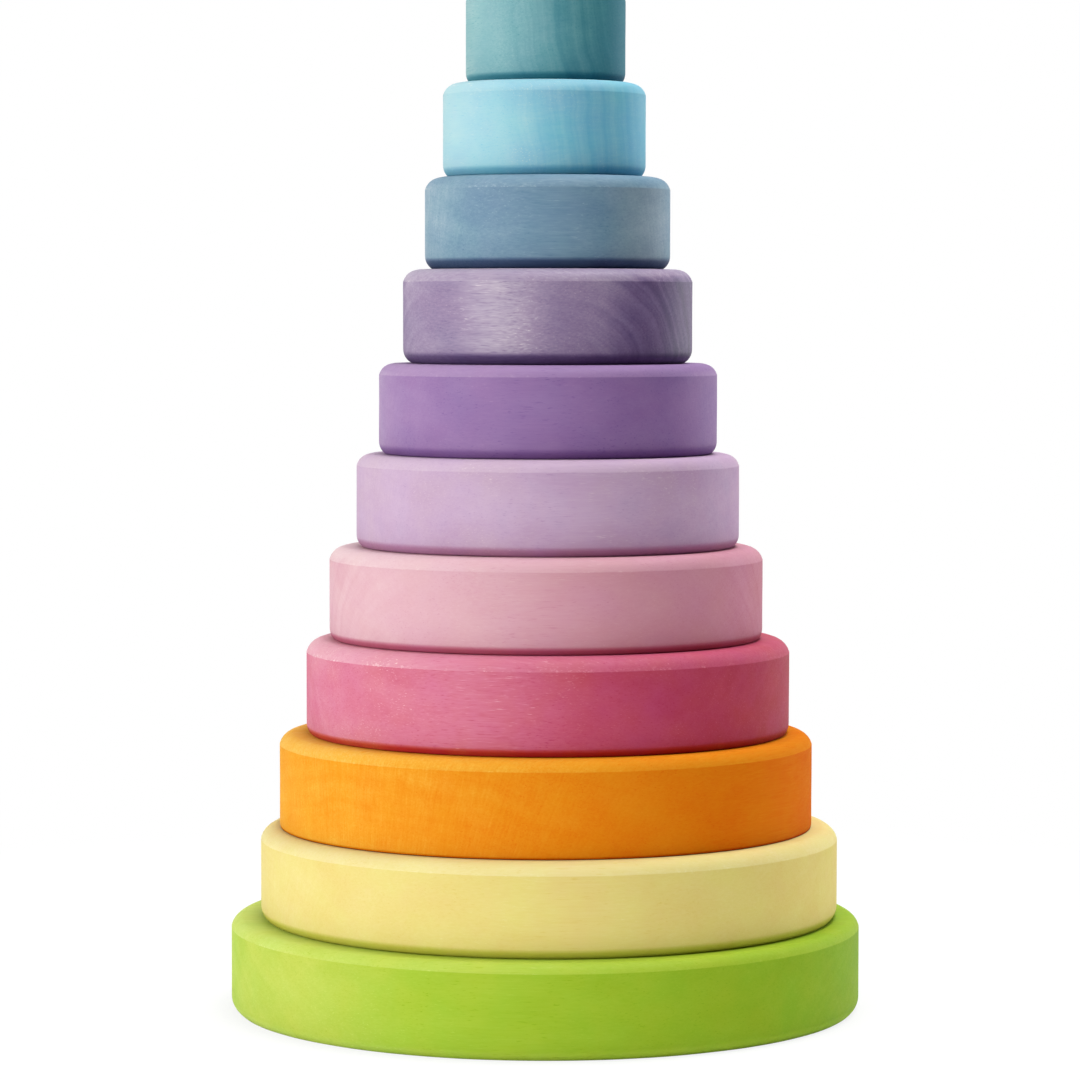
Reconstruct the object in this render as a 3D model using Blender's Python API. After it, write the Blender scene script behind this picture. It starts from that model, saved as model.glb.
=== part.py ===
"""Conical stacking tower: turned wooden rings on a dowel that is glued into a round base.

The tower stands on the XY plane with its dowel on the Z axis. Every ring rests on the one below
and is parented to it, so lifting a ring lifts all the rings above it.
"""

import math
from typing import NamedTuple

import bmesh
import bpy
from mathutils import Matrix, Vector

MM = 0.001

# Base and dowel
BASE_DIAMETER = 130.0 * MM
BASE_THICKNESS = 18.85 * MM
BASE_TOP = 2.6 * MM  # radius of the rounding on the base's upper edge
BASE_FOOT = 2.6 * MM  # height of the rounding on the base's lower edge
BASE_COLOUR = (0.41, 0.59, 0.05)
DOWEL_DIAMETER = 14.0 * MM
DOWEL_COLOUR = (0.78, 0.58, 0.36)
SOCKET_DEPTH = 13.0 * MM
DOWEL_RECESS = 2.5 * MM  # from the top ring's upper face down to the end of the dowel

# Fits
RING_CLEARANCE = 1.25 * MM  # on the radius, between a ring's bore and the dowel
GLUE_GAP = 0.3 * MM  # round the dowel in its socket and under its end
SEAT_GAP = 0.3 * MM  # between a ring and what it rests on

# Turned edges
TOP_BREAK = math.radians(15)  # angle at which the rounded upper edge leaves the wall
FOOT_ROUND = 3.2 * MM  # radius of the rounded lower edge, which the lower face cuts short
BORE_CHAMFER = 1.0 * MM
SOCKET_CHAMFER = 0.6 * MM
DOWEL_NOSE = 3.0 * MM  # radius of the round at the upper end
DOWEL_FOOT_CHAMFER = 1.0 * MM

# Finishes
STAIN_ROUGHNESS = 0.55
BARE_WOOD_ROUGHNESS = 0.6

# Facets
FACET_SAG = 0.12 * MM  # how far a flat facet may lie inside the true circle
FACET_STEP = 4  # every circle has a multiple of this many facets
TOP_ARC_STEPS = 4
FOOT_ARC_STEPS = 3
NOSE_ARC_STEPS = 4
SMOOTH_ANGLE = math.radians(40)


class Ring(NamedTuple):
    """One ring.

    top is the radius of the rounding on its upper edge, and foot the height of the rounding on
    its lower edge. Both differ from ring to ring, as hand-turned edges do.
    lean is how far it sits off the dowel's axis along X, as a share of the clearance.
    """

    name: str
    diameter: float
    thickness: float
    top: float
    foot: float
    lean: float
    colour: tuple


# From the base upwards
RINGS = (
    Ring("ring_yellow", 119.3 * MM, 18.4 * MM, 3.4 * MM, 2.4 * MM, 0.61, (0.86, 0.71, 0.25)),
    Ring("ring_orange", 110.1 * MM, 19.0 * MM, 3.05 * MM, 1.0 * MM, 0.07, (0.91, 0.34, 0.02)),
    Ring("ring_raspberry", 99.8 * MM, 19.2 * MM, 3.75 * MM, 2.1 * MM, 0.40, (0.72, 0.18, 0.26)),
    Ring("ring_rose", 89.5 * MM, 18.65 * MM, 3.55 * MM, 2.1 * MM, 0.08, (0.78, 0.44, 0.48)),
    Ring("ring_lilac", 79.0 * MM, 18.8 * MM, 3.25 * MM, 2.45 * MM, 0.36, (0.60, 0.42, 0.60)),
    Ring("ring_purple", 69.75 * MM, 18.3 * MM, 3.2 * MM, 2.5 * MM, 0.38, (0.32, 0.19, 0.43)),
    Ring("ring_violet", 59.65 * MM, 18.95 * MM, 3.5 * MM, 2.85 * MM, 0.31, (0.36, 0.28, 0.42)),
    Ring("ring_slate", 50.55 * MM, 18.55 * MM, 3.5 * MM, 2.7 * MM, 0.28, (0.19, 0.32, 0.45)),
    Ring("ring_aqua", 41.75 * MM, 18.9 * MM, 3.3 * MM, 2.4 * MM, -0.26, (0.35, 0.67, 0.80)),
    Ring("ring_teal", 32.85 * MM, 18.9 * MM, 3.3 * MM, 2.1 * MM, -0.07, (0.20, 0.45, 0.50)),
)


def clear_scene():
    for obj in list(bpy.data.objects):
        bpy.data.objects.remove(obj)


def facets_for(radius):
    """How many facets keep a circle of this radius within FACET_SAG of true."""
    exact = math.pi / math.acos(1 - FACET_SAG / radius)
    return math.ceil(exact / FACET_STEP) * FACET_STEP


def arc_at(corner, before, after, radius, steps):
    """Points of the arc that rounds a corner between its two neighbours."""
    to_before = (before - corner).normalized()
    to_after = (after - corner).normalized()
    half_angle = to_before.angle(to_after) / 2
    reach = radius / math.tan(half_angle)
    centre = corner + (to_before + to_after).normalized() * (radius / math.sin(half_angle))
    start = corner + to_before * reach - centre
    end = corner + to_after * reach - centre
    turn = math.atan2(start.cross(end), start.dot(end))
    return [centre + Matrix.Rotation(turn * i / steps, 2) @ start for i in range(steps + 1)]


def top_edge(radius, thickness, top):
    """Outline of the rounded upper edge, from the upper face to the wall."""
    break_depth = top * (1 - math.sin(TOP_BREAK))
    on_wall = Vector((radius, thickness - break_depth))
    corner = Vector((radius - break_depth * math.tan(TOP_BREAK), thickness))
    along_face = corner - Vector((top, 0))
    return arc_at(corner, along_face, on_wall, top, TOP_ARC_STEPS)


def foot_edge(radius, foot):
    """Outline of the rounded lower edge, from the wall to where the lower face cuts it short."""
    sweep = math.asin(foot / FOOT_ROUND)
    on_wall = Vector((radius, foot))
    corner = Vector((radius, foot - FOOT_ROUND * math.tan(sweep / 2)))
    on_face = Vector((radius - FOOT_ROUND * (1 - math.cos(sweep)), 0.0))
    return arc_at(corner, on_wall, on_face, FOOT_ROUND, FOOT_ARC_STEPS)


def disc_outline(radius, thickness, top, foot):
    """Outer outline of a disc, from its upper face round the wall to its lower face."""
    return top_edge(radius, thickness, top) + foot_edge(radius, foot)


def material(name, colour, roughness):
    finish = bpy.data.materials.new(name)
    finish.use_nodes = True
    shader = finish.node_tree.nodes["Principled BSDF"]
    shader.inputs["Base Color"].default_value = (*colour, 1.0)
    shader.inputs["Roughness"].default_value = roughness
    shader.inputs["Metallic"].default_value = 0.0
    finish.diffuse_color = (*colour, 1.0)
    return finish


def turned(name, outline, closed, facets, finish):
    """A piece turned on the Z axis. An open outline leaves round holes at its ends, which are capped."""
    bm = bmesh.new()
    points = [bm.verts.new((r, 0.0, z)) for r, z in outline]
    pairs = list(zip(points, points[1:]))
    if closed:
        pairs.append((points[-1], points[0]))
    edges = [bm.edges.new(pair) for pair in pairs]
    bmesh.ops.spin(
        bm,
        geom=points + edges,
        axis=(0.0, 0.0, 1.0),
        cent=(0.0, 0.0, 0.0),
        angle=math.tau,
        steps=facets,
        use_merge=True,
    )
    bmesh.ops.holes_fill(bm, edges=bm.edges, sides=facets)
    bmesh.ops.recalc_face_normals(bm, faces=bm.faces)
    mesh = bpy.data.meshes.new(name)
    bm.to_mesh(mesh)
    bm.free()
    mesh.shade_smooth()
    mesh.set_sharp_from_angle(angle=SMOOTH_ANGLE)
    mesh.materials.append(finish)
    piece = bpy.data.objects.new(name, mesh)
    bpy.context.scene.collection.objects.link(piece)
    return piece


def make_base():
    """The base: a disc with a blind socket for the dowel in its upper face."""
    socket_radius = DOWEL_DIAMETER / 2 + GLUE_GAP
    socket_floor = BASE_THICKNESS - SOCKET_DEPTH
    socket = [
        (socket_radius, socket_floor),
        (socket_radius, BASE_THICKNESS - SOCKET_CHAMFER),
        (socket_radius + SOCKET_CHAMFER, BASE_THICKNESS),
    ]
    radius = BASE_DIAMETER / 2
    outline = socket + disc_outline(radius, BASE_THICKNESS, BASE_TOP, BASE_FOOT)
    finish = material("green_stain", BASE_COLOUR, STAIN_ROUGHNESS)
    return turned("base_disc", outline, False, facets_for(radius), finish)


def make_dowel(base):
    """The dowel: glued into the base, and long enough to reach into the top ring."""
    stack = sum(ring.thickness + SEAT_GAP for ring in RINGS)
    foot = BASE_THICKNESS - SOCKET_DEPTH + GLUE_GAP
    length = BASE_THICKNESS + stack - DOWEL_RECESS - foot
    radius = DOWEL_DIAMETER / 2
    nose_corner = Vector((radius, length))
    nose = arc_at(
        nose_corner,
        nose_corner - Vector((radius, 0)),
        nose_corner - Vector((0, length)),
        DOWEL_NOSE,
        NOSE_ARC_STEPS,
    )
    end = [(radius, DOWEL_FOOT_CHAMFER), (radius - DOWEL_FOOT_CHAMFER, 0.0)]
    finish = material("natural_wood", DOWEL_COLOUR, BARE_WOOD_ROUGHNESS)
    dowel = turned("centre_dowel", nose + end, False, facets_for(radius), finish)
    dowel.parent = base
    dowel.location = (0.0, 0.0, foot)
    return dowel


def make_ring(ring):
    """A ring: a disc with a bore that is eased at both ends."""
    bore = DOWEL_DIAMETER / 2 + RING_CLEARANCE
    inner = [
        (bore + BORE_CHAMFER, 0.0),
        (bore, BORE_CHAMFER),
        (bore, ring.thickness - BORE_CHAMFER),
        (bore + BORE_CHAMFER, ring.thickness),
    ]
    radius = ring.diameter / 2
    outline = disc_outline(radius, ring.thickness, ring.top, ring.foot) + inner
    hue = ring.name.removeprefix("ring_")
    finish = material(f"{hue}_stain", ring.colour, STAIN_ROUGHNESS)
    return turned(ring.name, outline, True, facets_for(radius), finish)


def stack_rings(base):
    """Puts each ring on the one below it."""
    below = base
    below_lean = 0.0
    below_thickness = BASE_THICKNESS
    for ring in RINGS:
        piece = make_ring(ring)
        piece.parent = below
        sideways = (ring.lean - below_lean) * RING_CLEARANCE
        piece.location = (sideways, 0.0, below_thickness + SEAT_GAP)
        below = piece
        below_lean = ring.lean
        below_thickness = ring.thickness


clear_scene()
tower_base = make_base()
make_dowel(tower_base)
stack_rings(tower_base)
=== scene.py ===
import math
from typing import NamedTuple

import bpy
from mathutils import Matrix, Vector


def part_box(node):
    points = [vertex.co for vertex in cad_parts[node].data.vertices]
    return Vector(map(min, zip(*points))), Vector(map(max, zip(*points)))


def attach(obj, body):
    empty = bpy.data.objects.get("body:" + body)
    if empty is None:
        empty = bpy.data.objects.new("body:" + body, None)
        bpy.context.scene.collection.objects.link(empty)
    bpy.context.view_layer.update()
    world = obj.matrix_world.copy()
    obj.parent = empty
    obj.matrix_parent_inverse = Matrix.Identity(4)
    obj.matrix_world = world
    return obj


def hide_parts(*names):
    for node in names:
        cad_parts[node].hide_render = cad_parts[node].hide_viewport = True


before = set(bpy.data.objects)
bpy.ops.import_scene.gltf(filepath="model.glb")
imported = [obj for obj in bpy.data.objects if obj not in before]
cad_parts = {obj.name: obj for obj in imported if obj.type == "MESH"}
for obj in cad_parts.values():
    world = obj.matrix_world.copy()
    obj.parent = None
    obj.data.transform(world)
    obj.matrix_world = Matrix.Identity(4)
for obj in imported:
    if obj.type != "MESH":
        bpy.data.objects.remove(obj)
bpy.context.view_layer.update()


# Base disc
# The widest disc of the tower: lime wood sawn from 19 mm board and turned, with both its edges
# rounded over, then sanded by hand and dipped in green water stain.
# A blind socket in its upper face holds the foot of the dowel, which is glued in.

MM = 0.001
TOP_BREAK = math.radians(15)  # angle of the soft ridge between the upper round and the wall
BREAK_SOFTNESS = 0.3 * MM
BREAK_ROOM = 0.1 * MM  # taken off the upper round to make room for that softness
FOOT_ROUND = 3.2 * MM
BASE_TOP = 2.6 * MM
BASE_FOOT = 2.6 * MM
SOCKET_RADIUS = 7.3 * MM
SOCKET_FLOOR = 5.85 * MM
SOCKET_EASE = 0.6 * MM
BARE_WOOD = (0.90, 0.87, 0.80)
BASE_STAIN = (0.312, 0.467, 0.025)

# Lathe
SPINDLE = 1.0 * MM  # radius of the circle that a half section is swept round
FACET = 0.8 * MM
FACET_MULTIPLE = 8
WALL_STEP = 1.5 * MM
CORNER_STEPS = 6
WELD = 0.001 * MM
LEVEL_FACE = 0.99  # upward lean of the normal above which a face counts as level
SANDING_DEPTH = 0.12 * MM
SANDING_LENGTH = 14.0 * MM
SANDING_DETAIL = 2.0


def node(tree, kind, sockets=None, **settings):
    """A new node. Each socket gets a value, or a link from another node's output."""
    made = tree.nodes.new(kind)
    for name, value in settings.items():
        setattr(made, name, value)
    for key, value in (sockets or {}).items():
        if isinstance(value, bpy.types.NodeSocket):
            tree.links.new(value, made.inputs[key])
        else:
            made.inputs[key].default_value = value
    return made


def math_node(tree, operation, first, second=0.0, third=0.0):
    """The result of one sum."""
    terms = {0: first, 1: second, 2: third}
    return node(tree, "ShaderNodeMath", terms, operation=operation).outputs[0]


def product(tree, first, *others):
    """Two or more values multiplied together."""
    for other in others:
        first = math_node(tree, "MULTIPLY", first, other)
    return first


def lathe_tree():
    """Rounds the corners of a half section, spins it round Z, sands it and puts it in its place.

    The radius of each point of the section is the radius that its corner is rounded to.
    """
    tree = bpy.data.node_groups.new("turn_on_the_lathe", "GeometryNodeTree")
    tree.interface.new_socket("Geometry", in_out="OUTPUT", socket_type="NodeSocketGeometry")
    for name, kind in (
        ("Section", "Geometry"),
        ("Facets", "Int"),
        ("Corner Steps", "Int"),
        ("Wall Step", "Float"),
        ("Sanding Depth", "Float"),
        ("Sanding Length", "Float"),
        ("Seed", "Float"),
        ("Seat", "Vector"),
        ("Finish", "Material"),
    ):
        tree.interface.new_socket(name, in_out="INPUT", socket_type="NodeSocket" + kind)
    given = tree.nodes.new("NodeGroupInput").outputs

    rounding = node(tree, "GeometryNodeInputRadius").outputs[0]
    fillet = {
        "Curve": given["Section"],
        "Count": given["Corner Steps"],
        "Radius": rounding,
        "Limit Radius": True,
    }
    rounded = node(tree, "GeometryNodeFilletCurve", fillet, mode="POLY").outputs[0]

    here = node(tree, "GeometryNodeInputPosition").outputs[0]
    after = node(tree, "GeometryNodeOffsetPointInCurve", {"Offset": 1}).outputs["Point Index"]
    ahead = {"Index": after, "Value": here}
    there = node(tree, "GeometryNodeFieldAtIndex", ahead, data_type="FLOAT_VECTOR").outputs[0]
    run = node(tree, "ShaderNodeVectorMath", {0: there, 1: here}, operation="SUBTRACT").outputs[0]
    rise = math_node(tree, "ABSOLUTE", node(tree, "ShaderNodeSeparateXYZ", {0: run}).outputs["Z"])
    cuts = math_node(tree, "FLOOR", math_node(tree, "DIVIDE", rise, given["Wall Step"]))
    stepped = node(tree, "GeometryNodeSubdivideCurve", {"Curve": rounded, "Cuts": cuts}).outputs[0]

    tip = {"Geometry": stepped, "Rotation": (math.pi / 2, 0, 0), "Translation": (-SPINDLE, 0, 0)}
    tipped = node(tree, "GeometryNodeTransform", tip).outputs[0]
    rail = {"Resolution": given["Facets"], "Radius": SPINDLE}
    circle = node(tree, "GeometryNodeCurvePrimitiveCircle", rail).outputs[0]
    sweep = {"Curve": circle, "Profile Curve": tipped}
    swept = node(tree, "GeometryNodeCurveToMesh", sweep).outputs[0]
    weld = {"Geometry": swept, "Distance": WELD}
    closed = node(tree, "GeometryNodeMergeByDistance", weld).outputs[0]

    normal = node(tree, "GeometryNodeInputNormal").outputs[0]
    upward = node(tree, "ShaderNodeSeparateXYZ", {0: normal}).outputs["Z"]
    slope = {0: math_node(tree, "ABSOLUTE", upward), 1: LEVEL_FACE}
    curved = node(tree, "FunctionNodeCompare", slope, operation="LESS_THAN").outputs[0]
    level = node(tree, "FunctionNodeBooleanMath", {0: curved}, operation="NOT").outputs[0]
    closeness = math_node(tree, "DIVIDE", 1.0, given["Sanding Length"])
    strokes = {"Vector": here, "W": given["Seed"], "Scale": closeness, "Detail": SANDING_DETAIL}
    waves = node(tree, "ShaderNodeTexNoise", strokes, noise_dimensions="4D").outputs[0]
    depth = product(tree, waves, given["Sanding Depth"], -1.0)
    inward = {0: normal, "Scale": depth}
    push = node(tree, "ShaderNodeVectorMath", inward, operation="SCALE").outputs[0]
    sand = {"Geometry": closed, "Selection": curved, "Offset": push}
    sanded = node(tree, "GeometryNodeSetPosition", sand).outputs[0]

    smooth = {"Geometry": sanded, "Selection": curved, "Shade Smooth": True}
    smoothed = node(tree, "GeometryNodeSetShadeSmooth", smooth).outputs[0]
    flat = {"Geometry": smoothed, "Selection": level, "Shade Smooth": False}
    shaded = node(tree, "GeometryNodeSetShadeSmooth", flat).outputs[0]
    put = {"Geometry": shaded, "Translation": given["Seat"]}
    seated = node(tree, "GeometryNodeTransform", put).outputs[0]
    real = node(tree, "GeometryNodeRealizeInstances", {"Geometry": seated}).outputs[0]
    coat = {"Geometry": real, "Material": given["Finish"]}
    done = node(tree, "GeometryNodeSetMaterial", coat).outputs[0]
    node(tree, "NodeGroupOutput", {"Geometry": done})
    return tree


LATHE = lathe_tree()


def turn(name, section, closed, seat, finish, seed):
    """A piece turned on the lathe from a half section of (radius, height, rounding) corners."""
    curve = bpy.data.curves.new(name + "_section", "CURVE")
    curve.dimensions = "3D"
    spline = curve.splines.new("POLY")
    spline.points.add(len(section) - 1)
    spline.use_cyclic_u = closed
    for point, (radius, height, rounding) in zip(spline.points, section):
        point.co = (radius, 0.0, height, 1.0)
        point.radius = rounding
    blank = bpy.data.objects.new(name + "_section", curve)
    bpy.context.scene.collection.objects.link(blank)
    lathe = blank.modifiers.new("lathe", "NODES")
    lathe.node_group = LATHE
    widest = max(radius for radius, height, rounding in section)
    settings = {
        "Facets": FACET_MULTIPLE * math.ceil(math.tau * widest / FACET / FACET_MULTIPLE),
        "Corner Steps": CORNER_STEPS,
        "Wall Step": WALL_STEP,
        "Sanding Depth": SANDING_DEPTH,
        "Sanding Length": SANDING_LENGTH,
        "Seed": seed,
        "Seat": seat,
        "Finish": finish,
    }
    for socket in LATHE.interface.items_tree:
        if socket.name in settings:
            lathe[socket.identifier] = settings[socket.name]
    turned = blank.evaluated_get(bpy.context.evaluated_depsgraph_get())
    mesh = bpy.data.meshes.new_from_object(turned)
    mesh.name = name
    bpy.data.objects.remove(blank)
    piece = bpy.data.objects.new(name, mesh)
    bpy.context.scene.collection.objects.link(piece)
    return piece


class Board(NamedTuple):
    """How a piece lies in the wood it was cut from, and how plainly that wood and its use show.

    The fibres run at an angle of grain degrees from X, tipped from the level by tip degrees.
    The growth rings run round the pith, which lies across the fibres and above or below the
    middle of the piece. The two way values say where on the rim a painted highlight lies and
    where the colour is less saturated, in degrees from the front. Most other values say how much
    a feature changes the depth of the stain, and some of these paint light and shade into it.
    """

    grain: float
    pith_across: float
    pith_height: float
    tip: float = 0.0
    year: float = 1.9 * MM
    growth: float = 0.5
    fibre: float = 0.2
    rays: float = 0.2
    cloud: float = 0.5
    pores: float = 0.25
    # flecks: pale raised specks of fibre, whose paleness also paints glints of light on them
    flecks: float = 0.15
    soak: float = 0.0  # more stain on end grain
    side_shade: float = 0.0  # more stain on the right than on the left: painted shade on the side away from the window
    tint: float = 0.04  # how far the hue strays from place to place
    pool: float = 0.0  # deeper stain under the lower edge, partly stain that pooled there and partly painted shade; a negative value paints light there
    bounce_tint: float = 0.0  # painted bounce light: the colour of the disc below laid on the lower edge
    wear: float = 0.2  # less stain on the rounded upper edge
    chips: float = 0.15  # specks of bare wood along the ridge below that edge
    rub: float = 0.0  # painted highlight: paler stain where the rim faces the window's reflection
    highlight_way: float = 0.0
    fade: float = 0.0  # colour made less saturated where the rim faces fade_way
    fade_way: float = 0.0
    yellowing: float = 0.0  # how far the hue turned where it faded
    foot_shade: float = 0.0  # painted shade: the colour darkened under the lower edge
    gloss: float = 0.62
    sheen: float = 0.22
    seed: float = 0.0


class Spots(NamedTuple):
    """A kind of noise: the size of its spots, and how fine it is.

    The sizes are those along the fibres, across them and up. offset is added to the board's seed,
    so that each kind has a pattern of its own.
    """

    size: tuple
    offset: float
    detail: float = 3.0
    roughness: float = 0.55


# Figure of the wood
WANDER_SPOTS = Spots((70 * MM, 12 * MM, 12 * MM), 0.1)
RING_WANDER = 5 * MM  # how far a growth ring strays from a true circle
YEAR_SPOTS = Spots((1.0, 1.0, 1.0), 0.2, detail=4.0, roughness=0.6)  # first size: from the board
FIBRE_SPOTS = Spots((11 * MM, 0.42 * MM, 0.32 * MM), 0.3)
RAY_SPOTS = Spots((2.5 * MM, 0.4 * MM, 4.5 * MM), 0.4, detail=2.0)
CLOUD_SPOTS = Spots((18 * MM, 8 * MM, 7 * MM), 0.5)
DASH_SPOTS = Spots((2.4 * MM, 0.24 * MM, 0.2 * MM), 0.6, detail=1.0)
PATCH_SPOTS = Spots((9 * MM, 9 * MM, 9 * MM), 0.7)
CHIP_SPOTS = Spots((0.9 * MM, 0.9 * MM, 0.5 * MM), 0.8)
NOISE_MIDDLE = 0.5

# Where a feature begins to show, and where it shows in full
SOAK_FACE = (0.55, 1.0)  # share of end grain
RING_FACE = (0.3, 0.85)
RING_LEAST = 0.12
LEVEL_RISE = (0.9, 0.99)  # upward lean of the normal
RING_LEVEL = 0.7
UPPER_EDGE = (0.18, 0.32)
LOWER_EDGE = (-0.14, -0.4)
RIDGE_LOW = (0.02, 0.12)
RIDGE_HIGH = (0.5, 0.3)
SIDE_FACE = (0.9, 1.0)  # how squarely the rim faces the side in question
WORN_CLOUD = (0.3, 0.6)  # value of the noise
HIGHLIGHT_CLOUD = (0.35, 0.6)
HIGHLIGHT_DASH = (0.3, 0.7)
FLECK_DASH = (0.62, 0.74)
FLECK_PATCH = (0.45, 0.6)
PORE_DASH = (0.38, 0.26)
PORE_PATCH = (0.6, 0.45)
CHIP_SHOWN = (0.55, 0.65)
CHIP_PATCH = (0.48, 0.56)
WEAR_AND_HIGHLIGHT_LEAST = 0.4
HIGHLIGHT_LEAST = 0.5
STAIN_LEAST = 0.05

# Relief and gloss of the sanded surface
FIBRE_RELIEF = 0.4
FLECK_RELIEF = 0.6
RELIEF_HEIGHT = 0.12 * MM
RELIEF_STRENGTH = 0.35
GLOSS_FIBRE = (0.3, 0.7)
GLOSS_SPREAD = (-0.06, 0.08)

# Colour
HUE_KEPT = 0.5  # hue setting that leaves a colour as it is
MIX_SHARE, MIX_UNDER, MIX_OVER = 0, 6, 7  # inputs of a colour mix, whose names are not unique
MIX_RESULT = 2


def noise(tree, place, spots, board):
    """Noise of one kind, in the pattern that a board has of it."""
    stretch = {0: place, 1: tuple(1.0 / length for length in spots.size)}
    stretched = node(tree, "ShaderNodeVectorMath", stretch, operation="MULTIPLY").outputs[0]
    texture = {
        "Vector": stretched,
        "W": board.seed + spots.offset,
        "Scale": 1.0,
        "Detail": spots.detail,
        "Roughness": spots.roughness,
    }
    return node(tree, "ShaderNodeTexNoise", texture, noise_dimensions="4D").outputs[0]


def swing(tree, spots):
    """Noise brought to swing about zero."""
    return math_node(tree, "SUBTRACT", spots, NOISE_MIDDLE)


def step_up(tree, value, low, high, floor=0.0, ceiling=1.0):
    """A value brought from one range into another, and kept inside it."""
    span = {"Value": value, "From Min": low, "From Max": high, "To Min": floor, "To Max": ceiling}
    return node(tree, "ShaderNodeMapRange", span).outputs[0]


def facing(tree, normal, way):
    """How squarely a surface faces a way: 1 straight towards it, -1 straight away from it."""
    pair = {0: normal, 1: way}
    return node(tree, "ShaderNodeVectorMath", pair, operation="DOT_PRODUCT").outputs["Value"]


def side(tree, normal, way):
    """1 where the rim faces a way, in degrees from the front, and 0 well away from there."""
    angle = math.radians(way)
    toward = facing(tree, normal, (math.sin(angle), -math.cos(angle), 0.0))
    return step_up(tree, toward, *SIDE_FACE)


def growth_figure(tree, place, board):
    """The growth rings round the pith, and the rays that run out from it."""
    along, across, height = node(tree, "ShaderNodeSeparateXYZ", {0: place}).outputs
    out_across = math_node(tree, "SUBTRACT", across, board.pith_across)
    out_height = math_node(tree, "SUBTRACT", height, board.pith_height)
    outward = node(tree, "ShaderNodeCombineXYZ", {1: out_across, 2: out_height}).outputs[0]
    distance = node(tree, "ShaderNodeVectorMath", {0: outward}, operation="LENGTH").outputs["Value"]
    wander = noise(tree, place, WANDER_SPOTS, board)
    year = math_node(tree, "MULTIPLY_ADD", wander, RING_WANDER, distance)
    year_line = node(tree, "ShaderNodeCombineXYZ", {0: year}).outputs[0]
    years = YEAR_SPOTS._replace(size=(board.year, *YEAR_SPOTS.size[1:]))
    growth = noise(tree, year_line, years, board)

    angle = math_node(tree, "ARCTAN2", out_height, out_across)
    pith_distance = math.hypot(board.pith_across, board.pith_height)
    sideways = math_node(tree, "MULTIPLY", angle, pith_distance)
    spread = {0: along, 1: sideways, 2: distance}
    ray_place = node(tree, "ShaderNodeCombineXYZ", spread).outputs[0]
    rays = noise(tree, ray_place, RAY_SPOTS, board)
    return growth, rays


def dye(tree, stain, depth):
    """What a stain of this depth leaves of white light.

    On bare wood, a depth of 1 gives the stain's own colour.
    """
    clear = tuple(channel / bare for channel, bare in zip(stain, BARE_WOOD))
    return node(tree, "ShaderNodeGamma", {"Color": (*clear, 1.0), "Gamma": depth}).outputs[0]


def dip(tree, colour, layer):
    """A colour seen through a layer of dye."""
    coats = {MIX_SHARE: 1.0, MIX_UNDER: colour, MIX_OVER: layer}
    mixed = node(tree, "ShaderNodeMix", coats, data_type="RGBA", blend_type="MULTIPLY")
    return mixed.outputs[MIX_RESULT]


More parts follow.
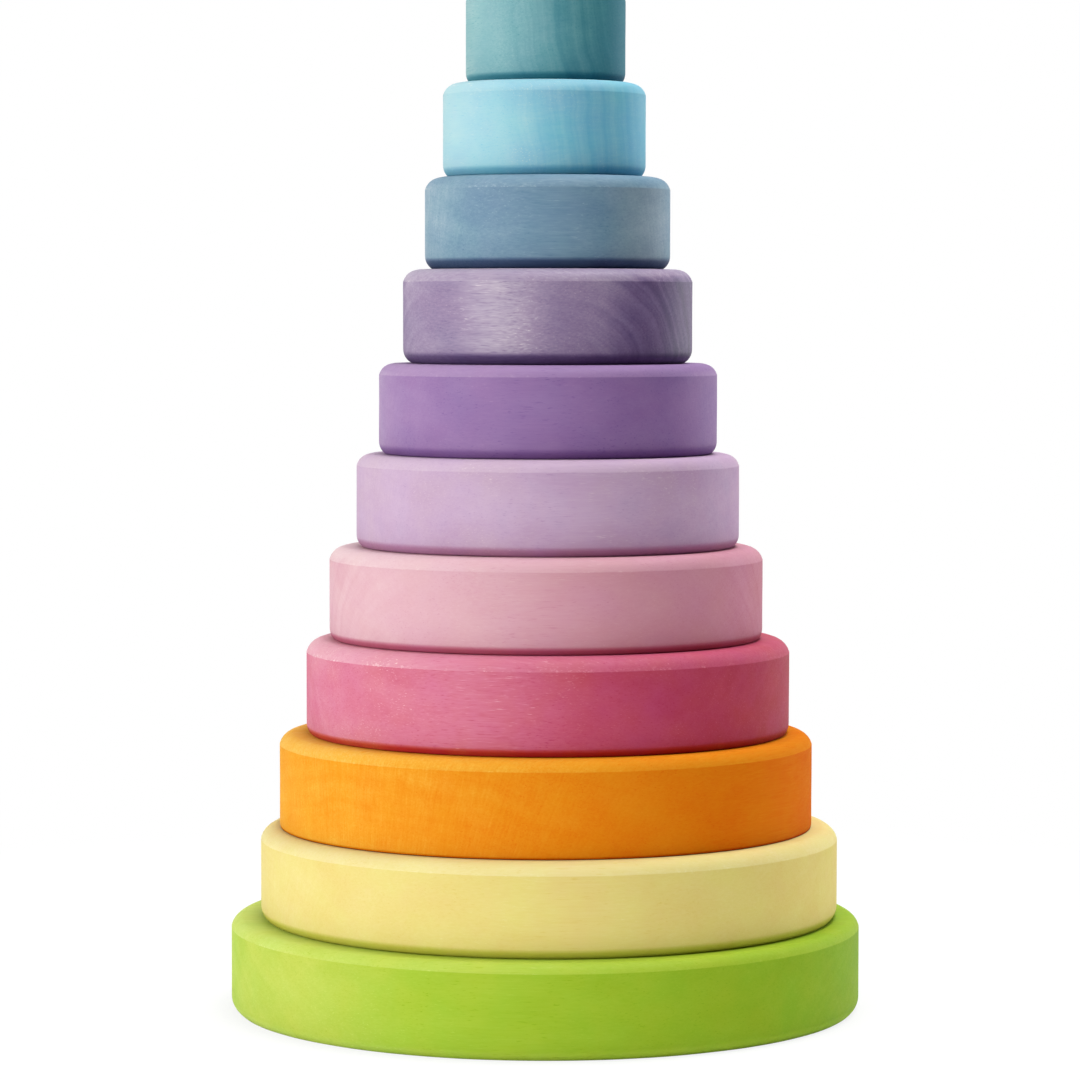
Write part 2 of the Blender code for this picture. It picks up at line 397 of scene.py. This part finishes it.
def stained_wood(name, stain, board, centre, radius, below=BARE_WOOD):
    """Wood dipped in water stain: the deeper the stain soaks in, the stronger its colour.

    below is the colour of what it rests on, painted onto its lower edge as bounce light from it.
    """
    wood = bpy.data.materials.new(name)
    wood.use_nodes = True
    tree = wood.node_tree
    surface = node(tree, "ShaderNodeTexCoord").outputs
    normal = surface["Normal"]
    slope = node(tree, "ShaderNodeSeparateXYZ", {0: normal}).outputs["Z"]
    turn_angle = math.radians(board.grain)
    tip_angle = math.radians(board.tip)
    lie = {"Vector": surface["Object"], "Location": centre, "Rotation": (0, tip_angle, turn_angle)}
    place = node(tree, "ShaderNodeMapping", lie, vector_type="TEXTURE").outputs[0]
    level = math.cos(tip_angle)
    fibre_way = (math.cos(turn_angle) * level, math.sin(turn_angle) * level, -math.sin(tip_angle))
    lean = facing(tree, normal, fibre_way)
    end_grain = math_node(tree, "MULTIPLY", lean, lean)

    growth, rays = growth_figure(tree, place, board)
    level_face = step_up(tree, math_node(tree, "ABSOLUTE", slope), *LEVEL_RISE, 0.0, RING_LEVEL)
    ring_face = step_up(tree, end_grain, *RING_FACE, RING_LEAST)
    ring_clear = math_node(tree, "MAXIMUM", ring_face, level_face)
    fibre = noise(tree, place, FIBRE_SPOTS, board)
    cloud = noise(tree, place, CLOUD_SPOTS, board)
    dashes = noise(tree, place, DASH_SPOTS, board)
    patch = noise(tree, place, PATCH_SPOTS, board)
    # Pale flecks are raised specks of fibre, and their paleness also paints glints of light.
    flecks = product(tree, step_up(tree, dashes, *FLECK_DASH), step_up(tree, patch, *FLECK_PATCH))
    pores = product(tree, step_up(tree, dashes, *PORE_DASH), step_up(tree, patch, *PORE_PATCH))

    # The lower edge takes painted shade, and painted bounce light from the disc below.
    lower_edge = step_up(tree, slope, *LOWER_EDGE)
    wear = product(
        tree,
        step_up(tree, slope, *UPPER_EDGE),
        step_up(tree, cloud, *WORN_CLOUD, WEAR_AND_HIGHLIGHT_LEAST),
    )
    chip_spots = noise(tree, place, CHIP_SPOTS, board)
    chips = product(
        tree,
        step_up(tree, slope, *RIDGE_LOW),
        step_up(tree, slope, *RIDGE_HIGH),
        step_up(tree, chip_spots, *CHIP_SHOWN),
        step_up(tree, patch, *CHIP_PATCH),
    )
    # Painted highlight: the stain is made paler where the rim faces the window's reflection.
    highlight_place = side(tree, normal, board.highlight_way)
    highlight_patch = product(
        tree,
        highlight_place,
        highlight_place,
        step_up(tree, dashes, *HIGHLIGHT_DASH, HIGHLIGHT_LEAST),
        step_up(tree, cloud, *HIGHLIGHT_CLOUD, WEAR_AND_HIGHLIGHT_LEAST),
    )

    # Painted shade: the stain deepens from left to right across the piece, darkest on the side away
    # from the window.
    depth = facing(tree, surface["Object"], (board.side_shade / radius, 0.0, 0.0))
    depth = math_node(tree, "ADD", depth, 1.0 - centre.x * board.side_shade / radius)
    for feature, weight in (
        (product(tree, swing(tree, growth), ring_clear), board.growth),
        (product(tree, swing(tree, rays), ring_clear), board.rays),
        (swing(tree, fibre), board.fibre),
        (swing(tree, cloud), board.cloud),
        (pores, board.pores),
        (flecks, -board.flecks),
        (step_up(tree, end_grain, *SOAK_FACE), board.soak),
        # The stain pooled under the lower edge also paints the shade that falls there.
        (lower_edge, board.pool),
        (wear, -board.wear),
        (chips, -board.chips),
        # The paler patch paints a highlight.
        (highlight_patch, -board.rub),
    ):
        depth = math_node(tree, "MULTIPLY_ADD", feature, weight, depth)
    depth = math_node(tree, "MAXIMUM", depth, STAIN_LEAST)

    dipped = dip(tree, (*BARE_WOOD, 1.0), dye(tree, stain, depth))
    # Painted bounce light: the colour of the disc below is laid on the lower edge.
    bounce_share = product(tree, lower_edge, board.bounce_tint)
    bounce_tinted = dip(tree, dipped, dye(tree, below, bounce_share))
    hue_start = HUE_KEPT - board.tint * NOISE_MIDDLE
    hue_turn = math_node(tree, "MULTIPLY_ADD", patch, board.tint, hue_start)
    # The colour is made less saturated, and its hue turned, where the rim faces one way.
    faded = side(tree, normal, board.fade_way)
    hue_turn = math_node(tree, "MULTIPLY_ADD", faded, -board.yellowing, hue_turn)
    richness = math_node(tree, "MULTIPLY_ADD", faded, -board.fade, 1.0)
    # Painted shade: the colour is darkened under the lower edge.
    foot_lightness = math_node(tree, "MULTIPLY_ADD", lower_edge, -board.foot_shade, 1.0)
    shaded_and_toned = {"Color": bounce_tinted, "Hue": hue_turn, "Saturation": richness, "Value": foot_lightness}
    colour = node(tree, "ShaderNodeHueSaturation", shaded_and_toned).outputs[0]

    raised_flecks = product(tree, flecks, FLECK_RELIEF)
    relief = math_node(tree, "MULTIPLY_ADD", fibre, FIBRE_RELIEF, raised_flecks)
    raised = {"Strength": RELIEF_STRENGTH, "Distance": RELIEF_HEIGHT, "Height": relief}
    bump = node(tree, "ShaderNodeBump", raised).outputs[0]
    gloss_range = [board.gloss + spread for spread in GLOSS_SPREAD]
    roughness = step_up(tree, fibre, *GLOSS_FIBRE, *gloss_range)

    shader = tree.nodes["Principled BSDF"]
    tree.links.new(colour, shader.inputs["Base Color"])
    tree.links.new(roughness, shader.inputs["Roughness"])
    tree.links.new(bump, shader.inputs["Normal"])
    shader.inputs["Specular IOR Level"].default_value = board.sheen
    return wood


def lie_of(cad_node):
    """Middle, radius and thickness of a turned CAD node."""
    low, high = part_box(cad_node)
    return (low + high) / 2, (high.x - low.x) / 2, high.z - low.z


def rim(radius, top, bottom, top_round, foot):
    """The outer edge of a disc in half section, from its upper face to its lower face.

    foot is the height at which the rounding of the lower edge begins. The lower face cuts it short.
    """
    break_depth = top_round * (1 - math.sin(TOP_BREAK))
    sweep = math.asin(foot / FOOT_ROUND)
    return [
        (radius - break_depth * math.tan(TOP_BREAK), top, top_round - BREAK_ROOM),
        (radius, top - break_depth, BREAK_SOFTNESS),
        (radius, bottom + foot - FOOT_ROUND * math.tan(sweep / 2), FOOT_ROUND),
        (radius - FOOT_ROUND * (1 - math.cos(sweep)), bottom, 0.0),
    ]


base_middle, base_radius, base_thickness = lie_of("base_disc")
base_seat = base_middle - Vector((0, 0, base_thickness / 2))
base_section = [
    (0.0, SOCKET_FLOOR, 0.0),
    (SOCKET_RADIUS, SOCKET_FLOOR, 0.0),
    (SOCKET_RADIUS, base_thickness - SOCKET_EASE, 0.0),
    (SOCKET_RADIUS + SOCKET_EASE, base_thickness, 0.0),
    *rim(base_radius, base_thickness, 0.0, BASE_TOP, BASE_FOOT),
    (0.0, 0.0, 0.0),
]
# Its lower edge is painted paler as light from the floor, and its right side painted darker as
# shade.
base_board = Board(
    grain=-6, pith_across=20 * MM, pith_height=-60 * MM,
    growth=0.3, rays=0.1, cloud=0.3,
    side_shade=0.28, pool=-0.15,
    wear=0.27, fade=0.04, fade_way=-50, yellowing=0.015,
    sheen=0.1, seed=90,
)
base_finish = stained_wood("green_stain", BASE_STAIN, base_board, base_middle, base_radius)
base = turn("green_base", base_section, False, base_seat, base_finish, base_board.seed)
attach(base, "base")
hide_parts("base_disc")


# Dowel
# A straight rod of pale beech, left bare. Its foot is glued into the base, and its upper end
# is rounded so that the rings thread on easily.

DOWEL_NOSE = 3.0 * MM
DOWEL_FOOT = 1.0 * MM
DOWEL_WOOD = (0.66, 0.47, 0.29)

dowel_middle, dowel_radius, dowel_length = lie_of("centre_dowel")
dowel_seat = dowel_middle - Vector((0, 0, dowel_length / 2))
dowel_section = [
    (0.0, dowel_length, 0.0),
    (dowel_radius, dowel_length, DOWEL_NOSE),
    (dowel_radius, DOWEL_FOOT, 0.0),
    (dowel_radius - DOWEL_FOOT, 0.0, 0.0),
    (0.0, 0.0, 0.0),
]
dowel_board = Board(
    grain=0, pith_across=30 * MM, pith_height=0.0, tip=90,
    fibre=0.5, flecks=0.4,
    soak=0.2,
    wear=0.0, chips=0.0,
    seed=20,
)
dowel_finish = stained_wood("bare_wood", DOWEL_WOOD, dowel_board, dowel_middle, dowel_radius)
dowel = turn("dowel", dowel_section, False, dowel_seat, dowel_finish, dowel_board.seed)
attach(dowel, "base")
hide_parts("centre_dowel")


# Rings
# Ten lime wood discs, turned like the base, bored for the dowel with play to spare, and each
# dipped in its own water stain. Every disc lay another way in its board and shows another grain.

BORE_RADIUS = 8.25 * MM
BORE_EASE = 1.0 * MM
SEAT_DROP = 0.27 * MM  # what a ring sinks in the gap that the CAD model leaves under it


class Ring(NamedTuple):
    """One ring: the rounding of its two edges, its stain, and how it lies in its board."""

    hue: str
    top_round: float
    foot: float
    stain: tuple
    board: Board


RINGS = (
    Ring(
        hue="yellow",
        top_round=3.4 * MM,
        foot=2.4 * MM,
        stain=(0.728, 0.602, 0.196),
        board=Board(
            grain=5, pith_across=10 * MM, pith_height=-90 * MM,
            growth=0.2, fibre=0.3, cloud=0.3,
            side_shade=0.06, pool=0.05, bounce_tint=0.25,
            wear=0.3,
            sheen=0.1, seed=1,
        ),
    ),
    Ring(
        hue="orange",
        top_round=3.05 * MM,
        foot=1.0 * MM,
        stain=(0.755, 0.239, 0.0075),
        board=Board(
            grain=58, pith_across=10 * MM, pith_height=-110 * MM,
            growth=0.3, fibre=0.35, rays=0.35, cloud=0.35,
            side_shade=0.31, tint=0.015, pool=1.2,
            wear=0.28, foot_shade=0.6,
            gloss=0.8, sheen=0.04, seed=2,
        ),
    ),
    Ring(
        hue="raspberry",
        top_round=3.75 * MM,
        foot=2.1 * MM,
        stain=(0.528, 0.084, 0.161),
        board=Board(
            grain=-15, pith_across=25 * MM, pith_height=-40 * MM,
            growth=0.3, rays=0.1, flecks=0.3,
            soak=0.2, side_shade=0.44, pool=0.4, bounce_tint=0.35,
            wear=0.3, chips=0.3, rub=0.26, highlight_way=-14,
            seed=3,
        ),
    ),
    Ring(
        hue="rose",
        top_round=3.55 * MM,
        foot=2.1 * MM,
        stain=(0.64, 0.326, 0.393),
        board=Board(
            grain=0, pith_across=-60 * MM, pith_height=-30 * MM,
            cloud=0.4,
            soak=0.2, side_shade=0.43, pool=0.7, bounce_tint=0.25,
            rub=0.1, highlight_way=-10,
            seed=124,
        ),
    ),
    Ring(
        hue="lilac",
        top_round=3.25 * MM,
        foot=2.45 * MM,
        stain=(0.537, 0.37, 0.531),
        board=Board(
            grain=10, pith_across=10 * MM, pith_height=-120 * MM,
            growth=0.2, fibre=0.3, flecks=0.35,
            side_shade=0.14, tint=0.12, pool=0.1, bounce_tint=0.5,
            wear=0.18,
            seed=5,
        ),
    ),
    Ring(
        hue="purple",
        top_round=3.2 * MM,
        foot=2.5 * MM,
        stain=(0.28, 0.158, 0.367),
        board=Board(
            grain=-5, pith_across=15 * MM, pith_height=-80 * MM,
            growth=0.12, fibre=0.12, rays=0.15, cloud=0.35, flecks=0.1,
            soak=-0.2, side_shade=0.15, pool=0.25,
            wear=0.22,
            seed=6,
        ),
    ),
    Ring(
        hue="violet",
        top_round=3.5 * MM,
        foot=2.85 * MM,
        stain=(0.287, 0.212, 0.35),
        board=Board(
            grain=-25, pith_across=-33 * MM, pith_height=-18 * MM,
            year=2.2 * MM, growth=2.2, fibre=0.5, cloud=0.6, flecks=0.35,
            soak=1.0, side_shade=0.12, tint=0.06, pool=0.7,
            wear=0.3, chips=0.4, rub=0.6, highlight_way=-18, foot_shade=0.1,
            gloss=0.5, sheen=0.3, seed=7,
        ),
    ),
    Ring(
        hue="slate",
        top_round=3.5 * MM,
        foot=2.7 * MM,
        stain=(0.177, 0.304, 0.414),
        board=Board(
            grain=4, pith_across=5 * MM, pith_height=-100 * MM,
            fibre=0.4, rays=0.35, cloud=0.6, flecks=0.3,
            soak=-0.25, side_shade=0.06, pool=0.3, bounce_tint=0.5,
            wear=0.1, chips=0.4, fade=0.26, fade_way=52, foot_shade=0.25,
            seed=68,
        ),
    ),
    Ring(
        hue="aqua",
        top_round=3.3 * MM,
        foot=2.4 * MM,
        stain=(0.294, 0.617, 0.735),
        board=Board(
            grain=-60, pith_across=90 * MM, pith_height=5 * MM,
            growth=1.1, rays=0.4, flecks=0.5,
            soak=0.2, side_shade=0.38, tint=0.05, pool=0.5,
            wear=0.08, foot_shade=0.15,
            seed=9,
        ),
    ),
    Ring(
        hue="teal",
        top_round=3.3 * MM,
        foot=2.1 * MM,
        stain=(0.114, 0.342, 0.396),
        board=Board(
            grain=-75, pith_across=60 * MM, pith_height=10 * MM,
            year=3.0 * MM, growth=1.1, rays=0.15,
            soak=-0.15, side_shade=0.5, tint=0.03, pool=0.6,
            rub=0.22, highlight_way=-26, foot_shade=0.15,
            sheen=0.12, seed=10,
        ),
    ),
)

below = BASE_STAIN
for ring in RINGS:
    cad_node = f"ring_{ring.hue}"
    stain_slot = f"{ring.hue}_stain"
    middle, radius, thickness = lie_of(cad_node)
    section = [
        (BORE_RADIUS, thickness - BORE_EASE, 0.0),
        (BORE_RADIUS + BORE_EASE, thickness, 0.0),
        *rim(radius, thickness, -SEAT_DROP, ring.top_round, ring.foot),
        (BORE_RADIUS + BORE_EASE, -SEAT_DROP, 0.0),
        (BORE_RADIUS, BORE_EASE - SEAT_DROP, 0.0),
    ]
    seat = middle - Vector((0, 0, thickness / 2))
    finish = stained_wood(stain_slot, ring.stain, ring.board, middle, radius, below)
    piece = turn(f"{ring.hue}_ring", section, True, seat, finish, ring.board.seed)
    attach(piece, ring.hue)
    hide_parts(cad_node)
    below = ring.stain


# Floor
# A sheet of white paper on a table, lit by the same lamps and a little from below, so that it is
# white round the tower and takes its soft shadow. Further off it runs out into plain white.

FLOOR_HALF = 6.0
FLOOR_DROP = 0.05 * MM
PAPER_WHITE = 0.88
ROOM_GREY = 0.25
PAPER_RUN_OUT = (0.25, 0.45)  # distances at which it begins to end, and has ended
PAPER_GLOW = 0.42
GLOW_RISE = (0.064, 0.08)  # none under the tower, all of it from just outside
FADE_RUN = (0.07, 0.28)  # distances at which plain white begins to take over, and has done so
FADE_LEAST = 0.85  # share of plain white at the tower


def seen_directly(tree):
    """1 where the camera sees a surface, also in a reflection or through glass, and else 0."""
    ray = node(tree, "ShaderNodeLightPath").outputs
    seen = math_node(tree, "MAXIMUM", ray["Is Camera Ray"], ray["Is Glossy Ray"])
    return math_node(tree, "MAXIMUM", seen, ray["Is Transmission Ray"])


floor_mesh = bpy.data.meshes.new("floor")
floor_corners = [(-1, -1), (1, -1), (1, 1), (-1, 1)]
floor_points = [(x * FLOOR_HALF, y * FLOOR_HALF, -FLOOR_DROP) for x, y in floor_corners]
floor_mesh.from_pydata(floor_points, [], [(0, 1, 2, 3)])
floor = bpy.data.objects.new("floor", floor_mesh)
bpy.context.scene.collection.objects.link(floor)
paper = bpy.data.materials.new("white_paper")
paper.use_nodes = True
paper_tree = paper.node_tree
paper_tree.nodes.clear()
spot = node(paper_tree, "ShaderNodeTexCoord").outputs["Object"]
away = node(paper_tree, "ShaderNodeVectorMath", {0: spot}, operation="LENGTH").outputs["Value"]
paleness = step_up(paper_tree, away, *PAPER_RUN_OUT, PAPER_WHITE, ROOM_GREY)
matt = node(paper_tree, "ShaderNodeBsdfDiffuse", {"Color": paleness}).outputs[0]
glow_level = step_up(paper_tree, away, *PAPER_RUN_OUT, PAPER_GLOW, 0.0)
glow_here = product(paper_tree, glow_level, step_up(paper_tree, away, *GLOW_RISE))
glow = node(paper_tree, "ShaderNodeEmission", {"Strength": glow_here}).outputs[0]
lit = node(paper_tree, "ShaderNodeAddShader", {0: matt, 1: glow}).outputs[0]
white = node(paper_tree, "ShaderNodeEmission", {"Strength": 1.0}).outputs[0]
run_out = step_up(paper_tree, away, *FADE_RUN, FADE_LEAST)
fade = product(paper_tree, run_out, seen_directly(paper_tree))
table = node(paper_tree, "ShaderNodeMixShader", {0: fade, 1: lit, 2: white}).outputs[0]
node(paper_tree, "ShaderNodeOutputMaterial", {"Surface": table})
floor_mesh.materials.append(paper)


# Light
# Soft daylight from a large window at the front left, a broad light overhead, a little to the right
# and behind, and a weak one from the right at the back.
# The white backdrop shows in the wood's sheen, and the room in front is dim.

ROOM_LIGHT = 0.18
ROOM_SHEEN = 0.25
BACKDROP_RISE = (-0.2, 0.3)  # from the room in front of the tower to the backdrop behind it
AIM = Vector((0, 0, 0.1))


def window(name, azimuth, elevation, distance, width, height, watts):
    """A soft rectangular light that faces the tower's middle. Azimuth 0 is straight in front."""
    lamp = bpy.data.lights.new(name, "AREA")
    lamp.shape = "RECTANGLE"
    lamp.size = width
    lamp.size_y = height
    lamp.energy = watts
    holder = bpy.data.objects.new(name, lamp)
    bpy.context.scene.collection.objects.link(holder)
    turn_angle = math.radians(azimuth)
    rise_angle = math.radians(elevation)
    level = math.cos(rise_angle)
    across = math.sin(turn_angle) * level
    forward = -math.cos(turn_angle) * level
    outward = Vector((across, forward, math.sin(rise_angle)))
    holder.location = AIM + outward * distance
    holder.rotation_euler = outward.to_track_quat("Z", "Y").to_euler()


window("front_left", azimuth=-55, elevation=18, distance=1.2, width=0.8, height=0.8, watts=10.0)
window("overhead", azimuth=112, elevation=80, distance=2.0, width=1.0, height=1.0, watts=36.2)
window("back_right", azimuth=128, elevation=12, distance=1.3, width=0.6, height=0.9, watts=5.2)

world = bpy.data.worlds.new("white_room")
bpy.context.scene.world = world
world.use_nodes = True
world_tree = world.node_tree
world_tree.nodes.clear()
view_way = node(world_tree, "ShaderNodeTexCoord").outputs["Generated"]
backward = node(world_tree, "ShaderNodeSeparateXYZ", {0: view_way}).outputs["Y"]
backdrop = step_up(world_tree, backward, *BACKDROP_RISE, ROOM_SHEEN)
shown = seen_directly(world_tree)
hidden = math_node(world_tree, "SUBTRACT", 1.0, shown)
room_light = product(world_tree, hidden, ROOM_LIGHT)
strength = math_node(world_tree, "MULTIPLY_ADD", shown, backdrop, room_light)
daylight = {"Color": (1, 1, 1, 1), "Strength": strength}
room = node(world_tree, "ShaderNodeBackground", daylight).outputs[0]
node(world_tree, "ShaderNodeOutputWorld", {"Surface": room})


# Camera
# A long lens on a tripod about 80 cm in front of the tower, a little above its middle and
# tipped slightly down, so that the top ring runs out of the frame.

CAMERA_PLACE = (0.0, -0.81625, 0.14426)
CAMERA_TURN = (86.6515, -0.059, 0.084)
FOCAL_LENGTH = 131.92
SENSOR_WIDTH = 36.0
NEAREST = 0.05
FURTHEST = 50.0

lens = bpy.data.cameras.new("camera")
lens.lens = FOCAL_LENGTH
lens.sensor_width = SENSOR_WIDTH
lens.clip_start = NEAREST
lens.clip_end = FURTHEST
camera = bpy.data.objects.new("camera", lens)
bpy.context.scene.collection.objects.link(camera)
camera.location = CAMERA_PLACE
camera.rotation_euler = [math.radians(angle) for angle in CAMERA_TURN]
bpy.context.scene.camera = camera
bpy.context.scene.view_settings.view_transform = "Standard"
